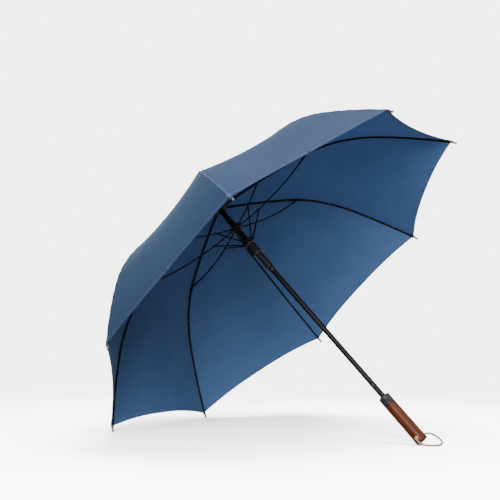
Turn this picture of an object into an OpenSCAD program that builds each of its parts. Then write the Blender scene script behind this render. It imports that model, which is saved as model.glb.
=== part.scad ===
// Golf umbrella, open, lying on two rib tips and the end of its handle.
// Everything is drawn in the shaft frame (Z along the shaft towards the crown,
// Z = 0 in the plane of the rib tips) and then leaned over onto the floor.

/* [Canopy] */
// Thickness of the canopy cloth
cloth_t = 0.6; // [0.5:0.1:1.2]
// How deep the hem curves in between two rib tips
scallop = 12.3; // [6:0.1:20]
// How far each panel sags in between its two ribs
panel_sag = 9; // [0:1:14]

/* [Ribs and stretchers] */
// Diameter of the rib rods
rib_d = 4.4; // [3.6:0.2:4.8]
// Diameter of the stretcher rods
stretcher_d = 3.8; // [3.2:0.2:4]
// Diameter of the pivot wires and pins
pin_d = 1.6; // [1.4:0.1:1.7]
// Radial clearance of each pivot
pivot_gap = 0.05; // [0.03:0.01:0.08]

/* [Shaft] */
// Outer diameter of the shaft tube
shaft_d = 14; // [13:0.2:14]
// Wall thickness of the shaft tube
shaft_wall = 1; // [0.8:0.1:1.5]
// Diameter of the straight end of the ferrule
ferrule_d = 10; // [8:0.5:10]

/* [Handle] */
// Diameter of the black collar
collar_d = 30.6; // [29:0.2:31]
// Diameter of the grip where it meets the collar
grip_top_d = 30.8; // [29:0.2:31]
// Diameter of the grip at its free end
grip_end_d = 32; // [31:0.2:32]
// Diameter of the wrist cord
cord_d = 4.5; // [3.5:0.1:4.6]

/* [Runner spring] */
// Wire diameter of the runner spring
spring_wire = 1.6; // [1.2:0.1:1.8]
// Number of turns of the runner spring
spring_turns = 9; // [6:1:11]

/* [Hidden] */

// Rib line in the plane of a rib: [distance from the shaft axis, height]
crown_p = [14, 301];
joint_p = [284, 262.5];
knee_p = [460, 160];
tip_p = [600, 0];
crown_slope = 4.2;
joint_slope = 15.5;
hub_p = [14, 224];
seat_p = [15, 168];
stretcher_bow = 12;
link_at = 66.5;
ribs = 8;
rib_az = 22.5;
rib_r = rib_d / 2;
pin_r = pin_d / 2;
shaft_r = shaft_d / 2;
eye_gap = pin_r + pivot_gap;

// Arc from p to q that starts at slope s (degrees below level) and bends down
function arc_end(p, q, s) = 2 * atan2(p[1] - q[1], q[0] - p[0]) - s;
function arc_r(p, q, s) = norm(q - p) / (2 * sin((arc_end(p, q, s) - s) / 2));
function arc_slope(p, q, s, x) = asin(sin(s) + (x - p[0]) / arc_r(p, q, s));
function arc_h(p, q, s, x) = p[1] - arc_r(p, q, s) * (cos(s) - cos(arc_slope(p, q, s, x)));
knee_slope = arc_end(joint_p, knee_p, joint_slope);
crown_end_slope = arc_end(crown_p, joint_p, crown_slope);
function rib_h(x) = x < joint_p[0] ? arc_h(crown_p, joint_p, crown_slope, x)
  : x < knee_p[0] ? arc_h(joint_p, knee_p, joint_slope, x)
  : arc_h(knee_p, tip_p, knee_slope, x);
function rib_s(x) = x < joint_p[0] ? arc_slope(crown_p, joint_p, crown_slope, x)
  : x < knee_p[0] ? arc_slope(joint_p, knee_p, joint_slope, x)
  : arc_slope(knee_p, tip_p, knee_slope, x);

// The stretcher is an arc that sags below the line from the hub to the rib joint
st_l = norm(joint_p - hub_p);
st_c = atan2(joint_p[1] - hub_p[1], joint_p[0] - hub_p[0]);
st_r = (st_l * st_l / 4 + stretcher_bow * stretcher_bow) / (2 * stretcher_bow);
st_half = asin(st_l / 2 / st_r);
st_o = (hub_p + joint_p) / 2 + (st_r - stretcher_bow) * [-sin(st_c), cos(st_c)];
function st_ang(d) = 270 + st_c - st_half + d / st_r * 180 / PI;
function st_pt(d) = st_o + st_r * [cos(st_ang(d)), sin(st_ang(d))];
st_arc = 2 * st_half * PI / 180 * st_r;
link_p = st_pt(link_at);

// Handle stations along the shaft
collar_top = -396;
collar_bottom = -423;
handle_end = -542;
edge_r = 3;
hole_z = -529;
catch_az = -67.5;

// Lean: two rib tips and the lower edge of the handle's end stand on one plane
lean = atan2(tip_p[0] * cos(rib_az) - grip_end_d / 2 + edge_r, -handle_end - edge_r);
lift = tip_p[0] * cos(rib_az) * cos(lean) + 3;
shift_x = 11.4;
function to_row(v) = [v[0] * sin(lean) - v[2] * cos(lean) + shift_x, v[1], v[0] * cos(lean) + v[2] * sin(lean) + lift];

module leaned() translate([shift_x, 0, lift]) rotate([0, lean - 90, 0]) children();
module at_rib(k) leaned() rotate([0, 0, rib_az + 45 * k]) children();
// Puts children drawn with X along the rod at a point of the rib plane
module at_rz(p, a) translate([p[0], 0, p[1]]) rotate([0, a, 0]) children();
// Disc or pin along the tangential direction, from y0 to y1
module peg(r, y0, y1) translate([0, y1, 0]) rotate([90, 0, 0]) cylinder(r = r, h = y1 - y0, $fn = 32);
module rod_arc(o, r, a0, a1, rr) translate([o[0], 0, o[1]]) rotate([90, 0, 0]) rotate([0, 0, a0])
  rotate_extrude(angle = a1 - a0, $fn = 1440) translate([r, 0]) circle(r = rr, $fn = 24);
module tube(r1, r0, z0, z1) translate([0, 0, z0]) difference() {
  cylinder(r = r1, h = z1 - z0, $fn = 72);
  translate([0, 0, -1]) cylinder(r = r0, h = z1 - z0 + 2, $fn = 72);
}
function arc_o(p, q, s) = [p[0] - arc_r(p, q, s) * sin(s), p[1] - arc_r(p, q, s) * cos(s)];

// ---- ribs ----
module rib_inner() {
  r0 = arc_r(crown_p, joint_p, crown_slope);
  o = arc_o(crown_p, joint_p, crown_slope);
  a = 180 / PI / r0;
  difference() {
    union() {
      rod_arc(o, r0, 90 - crown_end_slope + 7 * a, 90 - crown_slope - 16 * a, rib_r);
      at_rz(crown_p, crown_slope) {
        peg(3.2, -1, 1);
        translate([0, -1, -2]) cube([22, 2, 4]);
      }
      at_rz(joint_p, crown_end_slope) {
        peg(2.6, -1, 1);
        translate([-14, -1, -1.9]) cube([14, 2, 3.8]);
      }
    }
    at_rz(crown_p, 0) peg(eye_gap, -2, 2);
    at_rz(joint_p, 0) peg(eye_gap, -2, 2);
  }
}

module rib_outer() {
  r1 = arc_r(joint_p, knee_p, joint_slope);
  o1 = arc_o(joint_p, knee_p, joint_slope);
  r2 = arc_r(knee_p, tip_p, knee_slope);
  o2 = arc_o(knee_p, tip_p, knee_slope);
  tip_slope = arc_end(knee_p, tip_p, knee_slope);
  difference() {
    union() {
      rod_arc(o1, r1, 90 - knee_slope + 1 * 180 / PI / r1, 90 - joint_slope - 9 * 180 / PI / r1, rib_r);
      rod_arc(o2, r2, 90 - tip_slope, 90 - knee_slope - 1 * 180 / PI / r2, rib_r);
      // Ring that the cloth is tied to, where the two arcs meet
      at_rz(knee_p, knee_slope) translate([-2, 0, 0]) rotate([0, 90, 0]) cylinder(r = rib_r + 0.35, h = 4, $fn = 48);
      at_rz(joint_p, joint_slope) {
        for (s = [-1, 1]) {
          peg(2.6, s > 0 ? 1.35 : -2.75, s > 0 ? 2.75 : -1.35);
          translate([0, s > 0 ? 1.35 : -2.75, -2.1]) cube([9, 1.4, 4.2]);
        }
        translate([7, -2.75, -2.1]) cube([8, 5.5, 4.2]);
      }
      at_rz(tip_p, tip_slope) rotate([0, 90, 0]) rotate_extrude($fn = 48) {
        translate([0, -9]) square([2.7, 9]);
        intersection() {
          circle(r = 3, $fn = 48);
          translate([0, -4]) square([4, 6.92]);
        }
      }
    }
    at_rz(joint_p, 0) peg(eye_gap, -4, 4);
  }
}

module stretcher() {
  difference() {
    union() {
      rod_arc(st_o, st_r, st_ang(8), st_ang(st_arc - 19), stretcher_d / 2);
      at_rz(hub_p, -(st_ang(0) - 270)) {
        peg(2.6, -1, 1);
        translate([0, -1, -1.7]) cube([13, 2, 3.4]);
      }
      at_rz(joint_p, -(st_ang(st_arc) - 270)) {
        for (s = [-1, 1]) {
          peg(2.1, s > 0 ? 3.1 : -4.3, s > 0 ? 4.3 : -3.1);
          translate([-21, s > 0 ? 3.1 : -4.3, -1.7]) cube([21, 1.2, 3.4]);
        }
        translate([-23, -4.3, -1.7]) cube([5, 8.6, 3.4]);
        peg(pin_r, -4.3, 4.3);
      }
    }
    at_rz(hub_p, 0) peg(eye_gap, -2, 2);
    at_rz(link_p, 0) peg(eye_gap, -4, 4);
  }
}

module link() {
  v = seat_p - link_p;
  l = norm(v);
  at_rz(link_p, -atan2(v[1], v[0])) {
    peg(2.2, 2.3, 4.3);
    peg(pin_r, -2.6, 4.3);
    translate([0, 2.3, -1.6]) cube([l, 2, 3.2]);
    translate([l, 0, 0]) difference() {
      peg(2.2, 2.3, 4.3);
      peg(eye_gap, 2, 5);
    }
  }
}

// ---- crown ----
module crown_notch() leaned() difference() {
  tube(20, shaft_r, 296.5, 304.6);
  for (k = [0:ribs - 1]) rotate([0, 0, rib_az + 45 * k]) {
    translate([10.3, -1.35, 290]) cube([12, 2.7, 20]);
    translate([0, 0, crown_p[1]]) translate([crown_p[0], 0, 0]) peg(pin_r, -7, 7);
  }
}
module pivot_wire(r, z) for (k = [0:ribs - 1]) rotate([0, 0, rib_az + 45 * k])
  translate([r, 0, z]) peg(pin_r, -r * tan(22.5) + 0.9, r * tan(22.5) - 0.9);
module crown_wire() leaned() pivot_wire(crown_p[0], crown_p[1]);
module crown_cap() leaned() translate([0, 0, 309.2]) difference() {
  union() {
    cylinder(r = 21, h = 1, $fn = 72);
    translate([0, 0, 1]) cylinder(r1 = 20, r2 = 11.5, h = 3, $fn = 72);
  }
  translate([0, 0, -1]) cylinder(r = shaft_r, h = 8, $fn = 72);
}
module ferrule() leaned() difference() {
  union() {
    translate([0, 0, 313.2]) cylinder(r = 10.5, h = 4, $fn = 72);
    translate([0, 0, 317.2]) cylinder(r1 = 10.5, r2 = 7.6, h = 10, $fn = 72);
    translate([0, 0, 327.2]) cylinder(r1 = 7.6, r2 = ferrule_d / 2, h = 4, $fn = 72);
    translate([0, 0, 331]) cylinder(r = ferrule_d / 2, h = 33, $fn = 72);
    translate([0, 0, 364]) cylinder(r1 = ferrule_d / 2, r2 = ferrule_d / 2 - 1.4, h = 1.4, $fn = 72);
  }
  translate([0, 0, 312]) cylinder(r = shaft_r, h = 10, $fn = 72);
}

// ---- shaft and handle ----
module shaft() leaned() difference() {
  tube(shaft_r, shaft_r - shaft_wall, -500, 322);
  rotate([0, 0, catch_az]) {
    translate([4, -2.1, 56]) cube([6, 4.2, 12]);
    translate([4, -2.1, -362]) cube([6, 4.2, 12]);
    translate([4, -2.6, -416.5]) cube([6, 5.2, 8]);
  }
}
module collar() leaned() difference() {
  translate([0, 0, collar_bottom]) rotate_extrude($fn = 96) polygon([
    [shaft_r, 0], [collar_d / 2 - 0.6, 0], [collar_d / 2, 0.6], [collar_d / 2, 24.5], [collar_d / 2 - 1.2, 26.4], [collar_d / 2 - 2.4, 27], [shaft_r, 27]
  ]);
  rotate([0, 0, catch_az]) translate([0, 0, -412.5]) rotate([0, 90, 0]) cylinder(r = 4.3, h = 20, $fn = 48);
}
module grip() leaned() difference() {
  translate([0, 0, handle_end]) rotate_extrude($fn = 96) {
    polygon([
      [0, 0], [grip_end_d / 2 - edge_r, 0], [grip_end_d / 2 - edge_r, edge_r], [grip_end_d / 2, edge_r], [grip_end_d / 2 - 0.3, 40],
      [grip_top_d / 2 + 0.2, 112], [grip_top_d / 2, 118.2], [grip_top_d / 2 - 0.8, 119], [0, 119]
    ]);
    translate([grip_end_d / 2 - edge_r, edge_r]) circle(r = edge_r, $fn = 48);
  }
  translate([0, 0, -500]) cylinder(r = shaft_r, h = 80, $fn = 72);
  translate([0, 20, hole_z]) rotate([90, 0, 0]) cylinder(r = 2.9, h = 40, $fn = 48);
}

// ---- catches and button ----
module top_catch() leaned() rotate([0, 0, catch_az]) {
  translate([2.6, -1.8, 57]) cube([1, 3.6, 10]);
  translate([0, 1.8, 0]) rotate([90, 0, 0]) linear_extrude(height = 3.6) polygon([[3.4, 58], [7.4, 58], [8.5, 60.5], [8.5, 65.6], [3.4, 65.6]]);
}
module top_catch_spring() leaned() rotate([0, 0, catch_az]) {
  translate([-5.6, -1.6, 40]) cube([0.6, 3.2, 26]);
  translate([-5.6, -1.6, 61]) cube([7.9, 3.2, 0.6]);
}
module lower_catch() leaned() rotate([0, 0, catch_az]) {
  translate([2.6, -1.8, -418]) cube([1, 3.6, 66]);
  translate([0, 1.8, 0]) rotate([90, 0, 0]) linear_extrude(height = 3.6) polygon([[3.4, -352], [7.4, -352], [8.5, -354.5], [8.5, -359.6], [3.4, -359.6]]);
}
module push_button() leaned() rotate([0, 0, catch_az]) translate([0, 0, -412.5]) {
  translate([3.6, -2.2, -2.2]) cube([6.6, 4.4, 4.4]);
  translate([10, 0, 0]) rotate([0, 90, 0]) cylinder(r = 4, h = 6.6, $fn = 48);
  translate([16.6, 0, 0]) rotate([0, 90, 0]) cylinder(r1 = 4, r2 = 3.2, h = 0.8, $fn = 48);
}
module button_spring() leaned() rotate([0, 0, catch_az]) {
  translate([-5.6, -1.6, -440]) cube([0.6, 3.2, 30]);
  translate([-5.6, -1.6, -412.8]) cube([7.9, 3.2, 0.6]);
}

// ---- hub and runner ----
module keyway(z0, z1) rotate([0, 0, catch_az]) translate([0, -2.3, z0]) cube([9, 4.6, z1 - z0]);
module stretcher_hub() leaned() difference() {
  union() {
    tube(10, 7.3, hub_p[1] - 9, hub_p[1] + 15);
    tube(18, 9.5, hub_p[1] - 4.5, hub_p[1] + 4.5);
  }
  keyway(hub_p[1] - 10, hub_p[1] + 16);
  for (k = [0:ribs - 1]) rotate([0, 0, rib_az + 45 * k]) {
    translate([10.9, -1.35, hub_p[1] - 6]) cube([10, 2.7, 12]);
    translate([14.75, -1.35, hub_p[1] - 6]) cube([6, 6.05, 12]);
    translate([hub_p[0], 0, hub_p[1]]) peg(pin_r, -7, 7);
  }
}
module hub_wire() leaned() pivot_wire(hub_p[0], hub_p[1]);
module runner() leaned() difference() {
  union() {
    translate([0, 0, 67]) cylinder(r = 9.8, h = 54.5, $fn = 72);
    translate([0, 0, 84]) cylinder(r = 10.2, h = 2.4, $fn = 72);
    translate([0, 0, 121]) cylinder(r = 13, h = 43, $fn = 72);
    translate([0, 0, 163]) cylinder(r = 15.5, h = 9.5, $fn = 72);
  }
  translate([0, 0, 60]) cylinder(r = 7.3, h = 120, $fn = 72);
  translate([0, 0, 127]) cylinder(r = 11.7, h = 60, $fn = 72);
  keyway(60, 130);
  for (k = [0:ribs - 1]) rotate([0, 0, rib_az + 45 * k]) translate([12.3, 1.9, 161.5]) cube([8, 2.8, 20]);
}
module runner_rings() leaned() {
  tube(13.8, 13, 121.2, 122.8);
  tube(13.8, 13, 157.6, 159.2);
}
function ring_at(c, side, up, r, n) = [for (i = [0:n - 1]) c + r * (cos(360 * i / n) * side + sin(360 * i / n) * up)];
module sweep(pts, dirs, r, n) {
  m = len(pts);
  rings = [for (i = [0:m - 1]) let (s = cross(dirs[i], [0, 0, 1]), side = s / norm(s), up = cross(side, dirs[i])) each ring_at(pts[i], side, up, r, n)];
  polyhedron(points = rings, faces = concat(
    [[for (i = [0:n - 1]) i]],
    [for (j = [0:m - 2], i = [0:n - 1]) [j * n + i, (j + 1) * n + i, j * n + (i + 1) % n]],
    [for (j = [0:m - 2], i = [0:n - 1]) [(j + 1) * n + i, (j + 1) * n + (i + 1) % n, j * n + (i + 1) % n]],
    [[for (i = [n - 1:-1:0]) (m - 1) * n + i]]));
}
module runner_spring() leaned() {
  z0 = 127.4 + spring_wire / 2;
  z1 = hub_p[1] - 9.2 - spring_wire / 2;
  per = 12;
  m = spring_turns * per;
  pr = 9.6;
  pitch = (z1 - z0) / m;
  a = 360 / per;
  sweep([for (i = [0:m]) [pr * cos(a * i), pr * sin(a * i), z0 + pitch * i]],
    [for (i = [0:m]) let (d = [-sin(a * i) * pr * a * PI / 180, cos(a * i) * pr * a * PI / 180, pitch]) d / norm(d)], spring_wire / 2, 8);
}

// ---- canopy ----
cloth_gap = rib_r + 1.8;
rim_r = 595.5;
hole_r = 10;
panel_steps = 8;
length_steps = 14;
function cloth_h(x) = rib_h(x) + cloth_gap / cos(rib_s(x)) + (x < 110 ? 3.6 * pow(1 - x / 110, 2) : 0);
function hem_r(t) = rim_r - scallop * (1 - pow(abs(2 * t - 1), 2.4));
function sag(x, t) = panel_sag * 4 * t * (1 - t) * sin(120 * min(x / 560, 1));
// Point of the cloth: panel k, share t across it, distance x out along the ribs, e outwards from its inner face
function cloth_pt(k, t, x, e) = let (
    a = rib_az + 45 * k,
    u = (1 - t) * [cos(a), sin(a)] + t * [cos(a + 45), sin(a + 45)],
    m = u / norm(u), s = rib_s(x), d = e - sag(x, t)
  ) [x * u[0] + d * sin(s) * m[0], x * u[1] + d * sin(s) * m[1], cloth_h(x) + d * cos(s)];
// One gore. Its long edges stop 0.1 mm short of the ribs' planes, where it is sewn to the next one
module canopy_panel(k) leaned() {
  w = panel_steps + 1;
  nr = length_steps;
  pts = [for (e = [0, cloth_t], i = [0:nr], c = [0:panel_steps]) let (
      f = pow(i / nr, 0.9), x0 = hole_r + (rim_r - hole_r) * f, m = 0.1 / (x0 * sin(45)), t = m + (1 - 2 * m) * c / panel_steps,
      x = hole_r + (hem_r(t) - hole_r) * f) cloth_pt(k, t, x, e)];
  h = (nr + 1) * w;
  z = nr * w;
  p = panel_steps;
  polyhedron(points = pts, convexity = 6, faces = concat(
    [for (i = [0:nr - 1], c = [0:p - 1]) [i * w + c, (i + 1) * w + c, i * w + c + 1]],
    [for (i = [0:nr - 1], c = [0:p - 1]) [(i + 1) * w + c, (i + 1) * w + c + 1, i * w + c + 1]],
    [for (i = [0:nr - 1], c = [0:p - 1]) [h + i * w + c, h + i * w + c + 1, h + (i + 1) * w + c]],
    [for (i = [0:nr - 1], c = [0:p - 1]) [h + (i + 1) * w + c, h + i * w + c + 1, h + (i + 1) * w + c + 1]],
    [for (c = [0:p - 1]) [c, c + 1, h + c]],
    [for (c = [0:p - 1]) [c + 1, h + c + 1, h + c]],
    [for (c = [0:p - 1]) [z + c, h + z + c, z + c + 1]],
    [for (c = [0:p - 1]) [z + c + 1, h + z + c, h + z + c + 1]],
    [for (i = [0:nr - 1]) [(i + 1) * w, i * w, h + i * w]],
    [for (i = [0:nr - 1]) [(i + 1) * w, h + i * w, h + (i + 1) * w]],
    [for (i = [0:nr - 1]) [i * w + p, (i + 1) * w + p, h + i * w + p]],
    [for (i = [0:nr - 1]) [(i + 1) * w + p, h + (i + 1) * w + p, h + i * w + p]]));
}
// A band on the inner face of panel 7: x and t run along its middle, half width in x
module band(x0, x1, t0, t1, half, e0, e1, n) leaned() {
  pts = [for (i = [0:n]) let (t = t0 + (t1 - t0) * i / n, x = x0 + (x1 - x0) * i / n) each
    [cloth_pt(7, t, x - half, e0), cloth_pt(7, t, x + half, e0), cloth_pt(7, t, x + half, e1), cloth_pt(7, t, x - half, e1)]];
  polyhedron(points = pts, faces = concat([[0, 1, 2, 3]],
    [for (i = [0:n - 1], j = [0:3]) let (k = (j + 1) % 4) [4 * i + j, 4 * (i + 1) + j, 4 * i + k]],
    [for (i = [0:n - 1], j = [0:3]) let (k = (j + 1) % 4) [4 * (i + 1) + j, 4 * (i + 1) + k, 4 * i + k]],
    [[4 * n + 3, 4 * n + 2, 4 * n + 1, 4 * n]]));
}

// ---- wrist cord: from inside the cross hole, out, round a lying loop and back ----
// Route from the middle of the cross hole, in the leaned frame
cord_route = [
  [0, -8, 0], [0, -16, 0], [0, -21.5, 0], [3, -26, -3.6], [9.5, -26.5, -10.1], [18.4, -22.4, -14.2], [28.4, -15.5, -16.6],
  [38.4, -8, -16.8], [47.4, 0, -16.6], [53, 8.2, -15.4], [54, 16.5, -12.2], [50, 23.9, -8.5], [42, 28.3, -3.2], [32.4, 30, 2],
  [22.4, 29, 6.5], [13.5, 27.5, 8], [6.5, 25, 6.5], [1.5, 21.5, 2.5], [0, 17, 0], [0, 8, 0]
];
function cr(a, b, c, d, t) = 0.5 * (2 * b + (c - a) * t + (2 * a - 5 * b + 4 * c - d) * t * t + (3 * b - a - 3 * c + d) * t * t * t);
function cr_d(a, b, c, d, t) = 0.5 * ((c - a) + 2 * (2 * a - 5 * b + 4 * c - d) * t + 3 * (3 * b - a - 3 * c + d) * t * t);
module wrist_cord_tube() {
  n = len(cord_route);
  q = concat([2 * cord_route[0] - cord_route[1]], cord_route, [2 * cord_route[n - 1] - cord_route[n - 2]]);
  o = to_row([0, 0, hole_z]);
  st = [for (i = [0:n - 2], j = [0:1]) [i, j / 2]];
  pts = concat([for (s = st) o + cr(q[s[0]], q[s[0] + 1], q[s[0] + 2], q[s[0] + 3], s[1])], [o + cord_route[n - 1]]);
  ds = concat([for (s = st) let (d = cr_d(q[s[0]], q[s[0] + 1], q[s[0] + 2], q[s[0] + 3], s[1])) d / norm(d)], [[0, -1, 0]]);
  sweep(pts, ds, cord_d / 2, 8);
}

// Two turns of lace round the cord, against the mouth of the cross hole
module cord_knot() translate(to_row([0, 0, hole_z])) rotate([90, 0, 0]) for (y = [17.6, 20.1])
  translate([0, 0, y]) rotate_extrude($fn = 48) translate([cord_d / 2 + 1.6, 0]) circle(r = 1.4, $fn = 32);

color("#46689a") canopy_panel(0);  // canopy_panel_0
color("#3f5f8f") canopy_panel(1);  // canopy_panel_1
color("#46689a") canopy_panel(2);  // canopy_panel_2
color("#3f5f8f") canopy_panel(3);  // canopy_panel_3
color("#46689a") canopy_panel(4);  // canopy_panel_4
color("#3f5f8f") canopy_panel(5);  // canopy_panel_5
color("#46689a") canopy_panel(6);  // canopy_panel_6
color("#3f5f8f") canopy_panel(7);  // canopy_panel_7
color("#1c2436") band(505, 520, 0.055, 0.2, 9, -2.2, -1.2, 4);  // tie_strap
color("#10141c") band(517.5, 519.5, 0.165, 0.195, 7.5, -3.6, -2.6, 2);  // strap_pad
color("#151515") at_rib(0) rib_inner();  // rib_inner_0
color("#151515") at_rib(1) rib_inner();  // rib_inner_1
color("#151515") at_rib(2) rib_inner();  // rib_inner_2
color("#151515") at_rib(3) rib_inner();  // rib_inner_3
color("#151515") at_rib(4) rib_inner();  // rib_inner_4
color("#151515") at_rib(5) rib_inner();  // rib_inner_5
color("#151515") at_rib(6) rib_inner();  // rib_inner_6
color("#151515") at_rib(7) rib_inner();  // rib_inner_7
color("#1b1b1d") at_rib(0) rib_outer();  // rib_outer_0
color("#1b1b1d") at_rib(1) rib_outer();  // rib_outer_1
color("#1b1b1d") at_rib(2) rib_outer();  // rib_outer_2
color("#1b1b1d") at_rib(3) rib_outer();  // rib_outer_3
color("#1b1b1d") at_rib(4) rib_outer();  // rib_outer_4
color("#1b1b1d") at_rib(5) rib_outer();  // rib_outer_5
color("#1b1b1d") at_rib(6) rib_outer();  // rib_outer_6
color("#1b1b1d") at_rib(7) rib_outer();  // rib_outer_7
color("#202022") at_rib(0) stretcher();  // stretcher_0
color("#202022") at_rib(1) stretcher();  // stretcher_1
color("#202022") at_rib(2) stretcher();  // stretcher_2
color("#202022") at_rib(3) stretcher();  // stretcher_3
color("#202022") at_rib(4) stretcher();  // stretcher_4
color("#202022") at_rib(5) stretcher();  // stretcher_5
color("#202022") at_rib(6) stretcher();  // stretcher_6
color("#202022") at_rib(7) stretcher();  // stretcher_7
color("#262629") at_rib(0) link();  // link_0
color("#262629") at_rib(1) link();  // link_1
color("#262629") at_rib(2) link();  // link_2
color("#262629") at_rib(3) link();  // link_3
color("#262629") at_rib(4) link();  // link_4
color("#262629") at_rib(5) link();  // link_5
color("#262629") at_rib(6) link();  // link_6
color("#262629") at_rib(7) link();  // link_7
color("#18181a") shaft();
color("#141416") ferrule();
color("#17171a") crown_cap();
color("#121214") crown_notch();
color("#8a8a8c") crown_wire();
color("#101012") stretcher_hub();
color("#8a8a8c") hub_wire();
color("#101012") runner();
color("#b9b2a2") runner_rings();
color("#3a3a3c") runner_spring();
color("#b8b4ac") top_catch();
color("#9a9a9c") top_catch_spring();
color("#1a1b1d") collar();
color("#0c0c0d") push_button();
color("#a8a6a2") lower_catch();
color("#9a9a9c") button_spring();
color("#7a3b1e") grip();
color("#5a3a24") wrist_cord_tube();  // wrist_cord
color("#b08b66") cord_knot();
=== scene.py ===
import math
import bmesh
import bpy
from mathutils import Matrix, Vector


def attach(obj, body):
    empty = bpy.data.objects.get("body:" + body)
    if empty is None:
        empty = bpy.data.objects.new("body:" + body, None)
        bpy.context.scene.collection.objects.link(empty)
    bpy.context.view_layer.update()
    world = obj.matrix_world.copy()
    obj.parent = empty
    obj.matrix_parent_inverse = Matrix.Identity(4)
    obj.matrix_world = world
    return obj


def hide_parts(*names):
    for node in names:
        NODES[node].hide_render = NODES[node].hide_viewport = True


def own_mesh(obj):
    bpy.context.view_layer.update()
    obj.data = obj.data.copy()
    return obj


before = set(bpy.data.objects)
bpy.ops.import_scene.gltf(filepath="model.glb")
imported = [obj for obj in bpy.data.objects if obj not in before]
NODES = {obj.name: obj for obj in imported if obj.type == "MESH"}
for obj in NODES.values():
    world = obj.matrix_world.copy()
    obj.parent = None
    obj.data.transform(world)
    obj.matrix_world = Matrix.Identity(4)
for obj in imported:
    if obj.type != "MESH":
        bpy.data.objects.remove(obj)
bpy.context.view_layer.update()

scene = bpy.context.scene

# ------------------------------------------------------------------ frame
# Millimetres in the shaft's own frame (Z along the shaft towards the crown), as the CAD is drawn
GRIP_D, EDGE_R, HANDLE_END, HOLE_Z, SHIFT_X = 32.0, 3.0, -542.0, -529.0, 11.4
TIP_C = 600 * math.cos(math.radians(22.5))
LEAN = math.atan2(TIP_C - GRIP_D / 2 + EDGE_R, -HANDLE_END - EDGE_R)
LIFT = TIP_C * math.cos(LEAN) + 3
SL, CL = math.sin(LEAN), math.cos(LEAN)


def row(v):
    """A shaft-frame point in mm as a row-frame point in metres."""
    x, y, z = v
    return Vector(((x * SL - z * CL + SHIFT_X) / 1000, y / 1000, (x * CL + z * SL + LIFT) / 1000))


def rowdir(v):
    x, y, z = v
    return Vector((x * SL - z * CL, y, x * CL + z * SL)).normalized()


def azimuth(k):
    return math.radians(22.5 + 45 * k)


def ribpt(k, r, w, z):
    """A point given in rib k's plane: r out from the shaft, w across, z up the shaft."""
    a = azimuth(k)
    return row((r * math.cos(a) - w * math.sin(a), r * math.sin(a) + w * math.cos(a), z))


def ribdir(k, r, w, z):
    a = azimuth(k)
    return rowdir((r * math.cos(a) - w * math.sin(a), r * math.sin(a) + w * math.cos(a), z))


# Rib line, as in the CAD
C_P, J_P, K_P, T_P = (14.0, 301.0), (284.0, 262.5), (460.0, 160.0), (600.0, 0.0)
D2R = math.pi / 180


def arc_end(p, q, s):
    return 2 * math.degrees(math.atan2(p[1] - q[1], q[0] - p[0])) - s


def arc_r(p, q, s):
    return math.hypot(q[0] - p[0], q[1] - p[1]) / (2 * math.sin((arc_end(p, q, s) - s) / 2 * D2R))


KNEE_S = arc_end(J_P, K_P, 15.5)
SEGS = [(C_P, J_P, 4.2, arc_r(C_P, J_P, 4.2)), (J_P, K_P, 15.5, arc_r(J_P, K_P, 15.5)), (K_P, T_P, KNEE_S, arc_r(K_P, T_P, KNEE_S))]


def seg(x):
    return SEGS[0] if x < J_P[0] else SEGS[1] if x < K_P[0] else SEGS[2]


def rib_s(x):
    p, q, s, r = seg(x)
    return math.degrees(math.asin(max(-1, min(1, math.sin(s * D2R) + (x - p[0]) / r))))


def rib_h(x):
    p, q, s, r = seg(x)
    return p[1] - r * (math.cos(s * D2R) - math.cos(rib_s(x) * D2R))


def smooth_s(x):
    """The rib's slope with its step at the rib joint eased, for the cloth."""
    a = rib_s(x)
    if 254 < x < 314:
        u = (x - 254) / 60
        return rib_s(254) * (1 - u) + rib_s(314) * u
    return a


def cloth_h(x):
    h = rib_h(x) + 4.0 / math.cos(rib_s(x) * D2R)
    if x < 110:
        h += 3.6 * (1 - x / 110) ** 2
    return h


def hem_r(t):
    return 595.5 - 12.3 * (1 - abs(2 * t - 1) ** 2.4)


def sag(x, t):
    return 9 * 4 * t * (1 - t) * math.sin(120 * min(x / 560, 1) * D2R)


C45 = math.sqrt(0.5)


def cloth_local(x, t, e):
    """A point of the cloth in a rib's plane frame: share t across the gore from the rib, x out along the ribs, e outwards."""
    ux, uy = 1 - t + t * C45, t * C45
    n = math.hypot(ux, uy)
    s = smooth_s(x) * D2R
    d = e - sag(x, t)
    # a fine pucker where the cloth is gathered into the rib's seam, dying away across the gore
    d += 0.35 * math.exp(-t * x * 0.7071 / 16) * math.sin(x / 5.2 + 1.7 * math.sin(x / 37)) * min(1, x / 200)
    return (x * ux + d * math.sin(s) * ux / n, x * uy + d * math.sin(s) * uy / n, cloth_h(x) + d * math.cos(s))


def cloth(k, side, x, t, e):
    r, w, z = cloth_local(x, t, e)
    return ribpt(k, r, side * w, z)


def cloth_n(k, side, x, t):
    """Outward normal of the cloth."""
    dx, dt = 1.5, 0.004
    a = cloth(k, side, x + dx, t, 0) - cloth(k, side, x - dx, t, 0)
    b = cloth(k, side, x, t + dt, 0) - cloth(k, side, x, t - dt, 0)
    n = a.cross(b) * side
    return n.normalized()


def panel(k, side):
    return f"canopy_panel_{k if side > 0 else (k - 1) % 8}"


def x_cut(t):
    """The line across a gore that lies in the rib joint's plane."""
    return J_P[0] / (1 - t + t * C45)


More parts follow.
